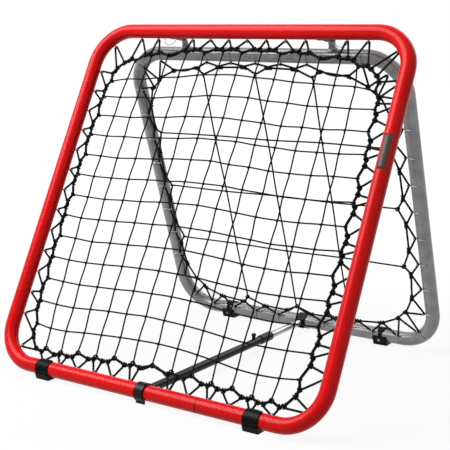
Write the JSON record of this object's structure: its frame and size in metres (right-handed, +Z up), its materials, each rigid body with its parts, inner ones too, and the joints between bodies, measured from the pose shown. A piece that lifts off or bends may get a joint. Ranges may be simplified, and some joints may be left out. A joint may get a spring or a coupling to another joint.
{
  "type": "pitch back rebounder",
  "caption": "Folding ball rebounder: a netted steel-tube front ring leaned against a smaller netted rear ring, hinged at the top and set by a telescopic strut",
  "frame": {"origin": "middle of the footprint, on the ground under the feet", "axes": "+X to the right seen from the front, +Y from the front ring to the rear ring, +Z up"},
  "size_m": [0.99, 0.804, 0.8889],
  "materials": {
    "red_powder_coat": "glossy powder coat",
    "grey_powder_coat": "hammered grey powder coat with a soft sheen",
    "black_enamel": "satin black enamel",
    "zinc_wire": "bright zinc plate",
    "polished_steel": "polished plate",
    "net_cord": "knitted polyester cord",
    "elastic_lace": "braided cover over an elastic core",
    "foot_rubber": "matt moulded rubber",
    "black_nylon": "moulded nylon",
    "bare_steel": "bare drawn steel"
  },
  "bodies": {
    "front_frame": {"front_tube": "red_powder_coat", "front_joint_sleeve": "bare_steel", "front_hooks": "zinc_wire", "front_net": "net_cord", "front_lace": "elastic_lace", "front_foot_left": "foot_rubber", "front_foot_right": "foot_rubber", "front_foot_screws": "zinc_wire", "hinge_bracket_left": "black_enamel", "hinge_bracket_right": "black_enamel", "hinge_bracket_rivets": "zinc_wire", "hinge_pin_left": "polished_steel", "hinge_pin_right": "polished_steel", "pin_keeper_left": "polished_steel", "pin_keeper_right": "polished_steel"},
    "rear_frame": {"rear_tube": "grey_powder_coat", "rear_joint_sleeve": "bare_steel", "rear_hooks": "zinc_wire", "rear_net": "net_cord", "rear_lace": "elastic_lace", "rear_foot_left": "foot_rubber", "rear_foot_right": "foot_rubber", "rear_foot_screws": "zinc_wire", "hinge_strap_left": "grey_powder_coat", "hinge_strap_right": "grey_powder_coat", "hinge_bush_left": "black_nylon", "hinge_bush_right": "black_nylon"},
    "strut_outer": {"strut_front_clip": "black_nylon", "front_clip_rivet": "zinc_wire", "strut_tube": "black_enamel", "strut_collar": "black_nylon"},
    "strut_inner": {"strut_rod": "polished_steel", "rod_guide": "black_nylon", "strut_rear_clip": "black_nylon", "rear_clip_rivet": "zinc_wire"},
    "knob": {"lock_knob": "black_nylon"}
  },
  "joints": [
    {"name": "fold", "type": "hinge", "parent": "front_frame", "child": "rear_frame", "pos_m": [0, 0.0918, 0.85438], "axis": [1, 0, 0], "range_deg": [-8, 5]},
    {"name": "strut_pivot", "type": "hinge", "parent": "front_frame", "child": "strut_outer", "pos_m": [0, -0.3785, 0.026], "axis": [1, 0, 0], "range_deg": [-3.1, 2]},
    {"name": "strut_slide", "type": "slide", "parent": "strut_outer", "child": "strut_inner", "axis": [0, 1, 0], "range_m": [-0.1175, 0.0735]},
    {"name": "knob_turn", "type": "hinge", "parent": "strut_outer", "child": "knob", "pos_m": [0, 0.1055, 0.045], "axis": [0, 0, 1], "range_deg": [0, 720]}
  ],
  "couplings": [
    {"joint": "strut_pivot", "follows": "fold", "ratio": 0.372},
    {"joint": "strut_slide", "follows": "fold", "m_per_rad": 0.83315}
  ]
}
